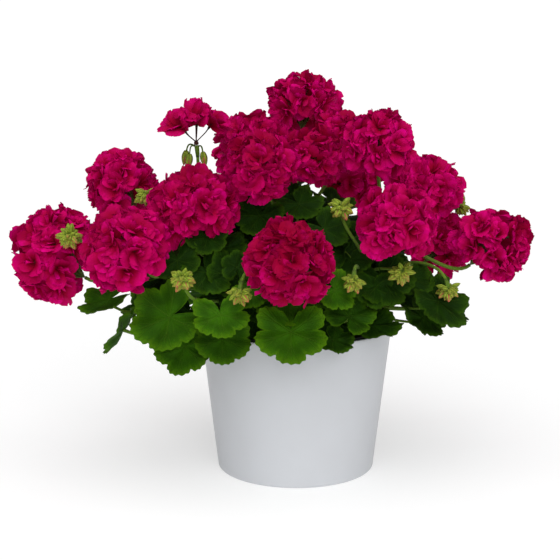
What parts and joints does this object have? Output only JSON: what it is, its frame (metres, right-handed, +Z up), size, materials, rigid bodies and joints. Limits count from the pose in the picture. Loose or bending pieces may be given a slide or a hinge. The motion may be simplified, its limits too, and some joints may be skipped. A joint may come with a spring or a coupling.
{
  "type": "potted pelargonium",
  "caption": "Double-flowered zonal pelargonium in bloom, a bushy mound of round lobed leaves and ball-shaped flower heads in a tapered cover pot.",
  "frame": {"origin": "centre of the cover pot's foot, on the ground", "axes": "+Z up the pot's axis, +X to the right and +Y to the back as seen from the plant's show side, which faces -Y"},
  "size_m": [0.4745, 0.3555, 0.3671],
  "materials": {
    "petal": "soft velvety magenta petals, redder towards the middle of each floret",
    "leaf": "soft matt green leaves and stalks, lighter at the veins and edges",
    "bud": "hairy yellow-green buds with pink tips",
    "cover_pot": "smooth satin white",
    "nursery_pot": "thin semi-matt black plastic",
    "soil": "dark crumbly potting compost"
  },
  "bodies": {
    "root": {"buds_behind_left": "bud", "buds_centre_right": "bud", "buds_far_right": "bud", "buds_front_left": "bud", "buds_left": "bud", "buds_low_right": "bud", "buds_mid_left": "bud", "buds_opening": "bud", "buds_right": "bud", "buds_under_right": "bud", "cover_pot": "cover_pot", "head_back": "petal", "head_back_left": "petal", "head_back_right": "petal", "head_back_top": "petal", "head_behind_right": "petal", "head_centre": "petal", "head_far_left": "petal", "head_far_right": "petal", "head_front": "petal", "head_front_left": "petal", "head_front_right": "petal", "head_mid_left": "petal", "head_mid_right": "petal", "head_opening": "petal", "head_right": "petal", "head_top": "petal", "head_top_left": "petal", "head_upper_centre": "petal", "head_upper_far_right": "petal", "head_upper_left": "petal", "head_upper_right": "petal", "nursery_pot": "nursery_pot", "shoot_back": "leaf", "shoot_centre": "leaf", "shoot_front": "leaf", "shoot_front_left": "leaf", "shoot_front_right": "leaf", "shoot_left": "leaf", "shoot_right": "leaf", "soil": "soil"}
  },
  "joints": []
}
